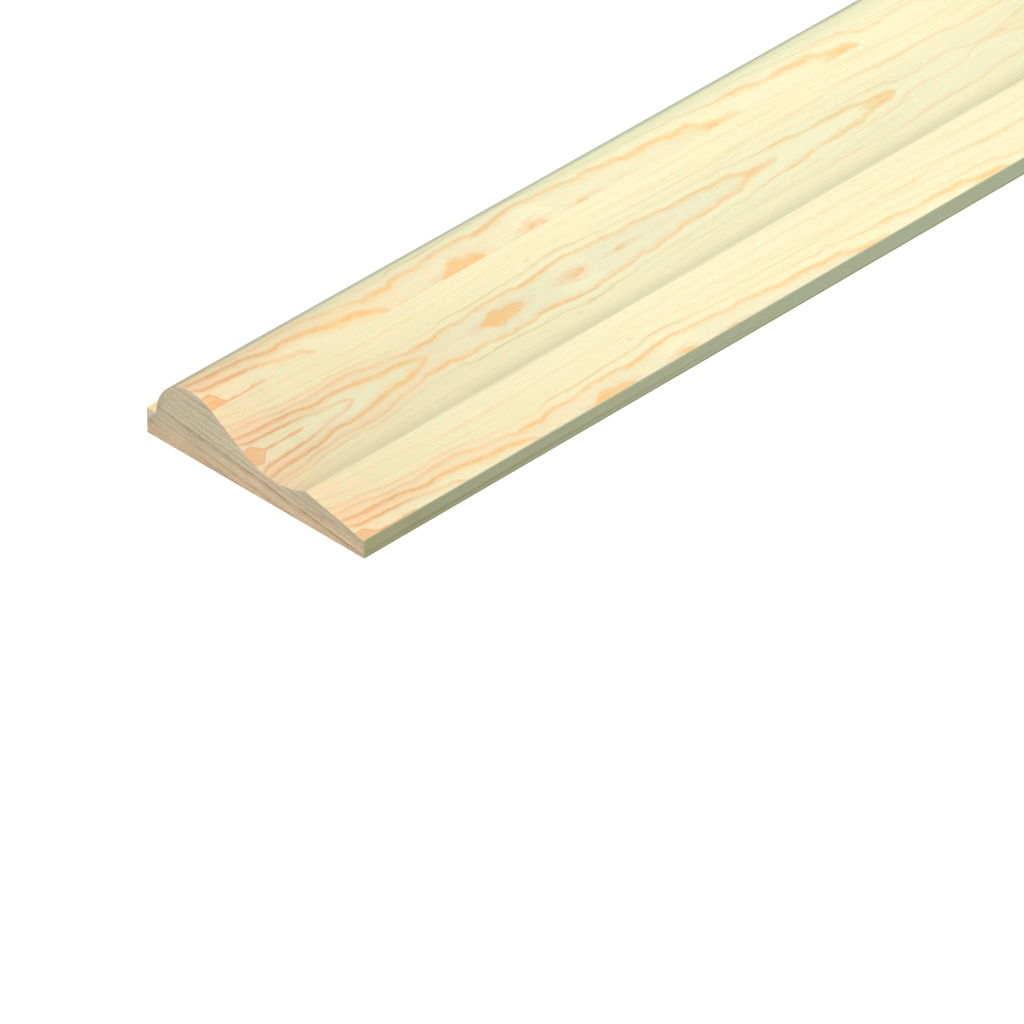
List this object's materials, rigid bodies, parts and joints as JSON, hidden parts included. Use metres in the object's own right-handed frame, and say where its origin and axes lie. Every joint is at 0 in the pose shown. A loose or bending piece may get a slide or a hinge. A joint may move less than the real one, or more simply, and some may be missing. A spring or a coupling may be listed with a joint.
{
  "type": "panel moulding",
  "caption": "Long planed softwood moulding with a rounded bead, a hollow and a bevelled edge, used to frame a wall or door panel.",
  "frame": {"origin": "middle of the flat back, halfway along the length and halfway across the width", "axes": "+X along the length, +Y across the width towards the thick edge with the bead, +Z out of the moulded face"},
  "size_m": [2.4, 0.057, 0.015],
  "materials": {
    "wood": "planed pine, unfinished and matt, with the growth rings showing along the face and on the sawn ends"
  },
  "bodies": {
    "root": {"panel_moulding": "wood"}
  },
  "joints": []
}
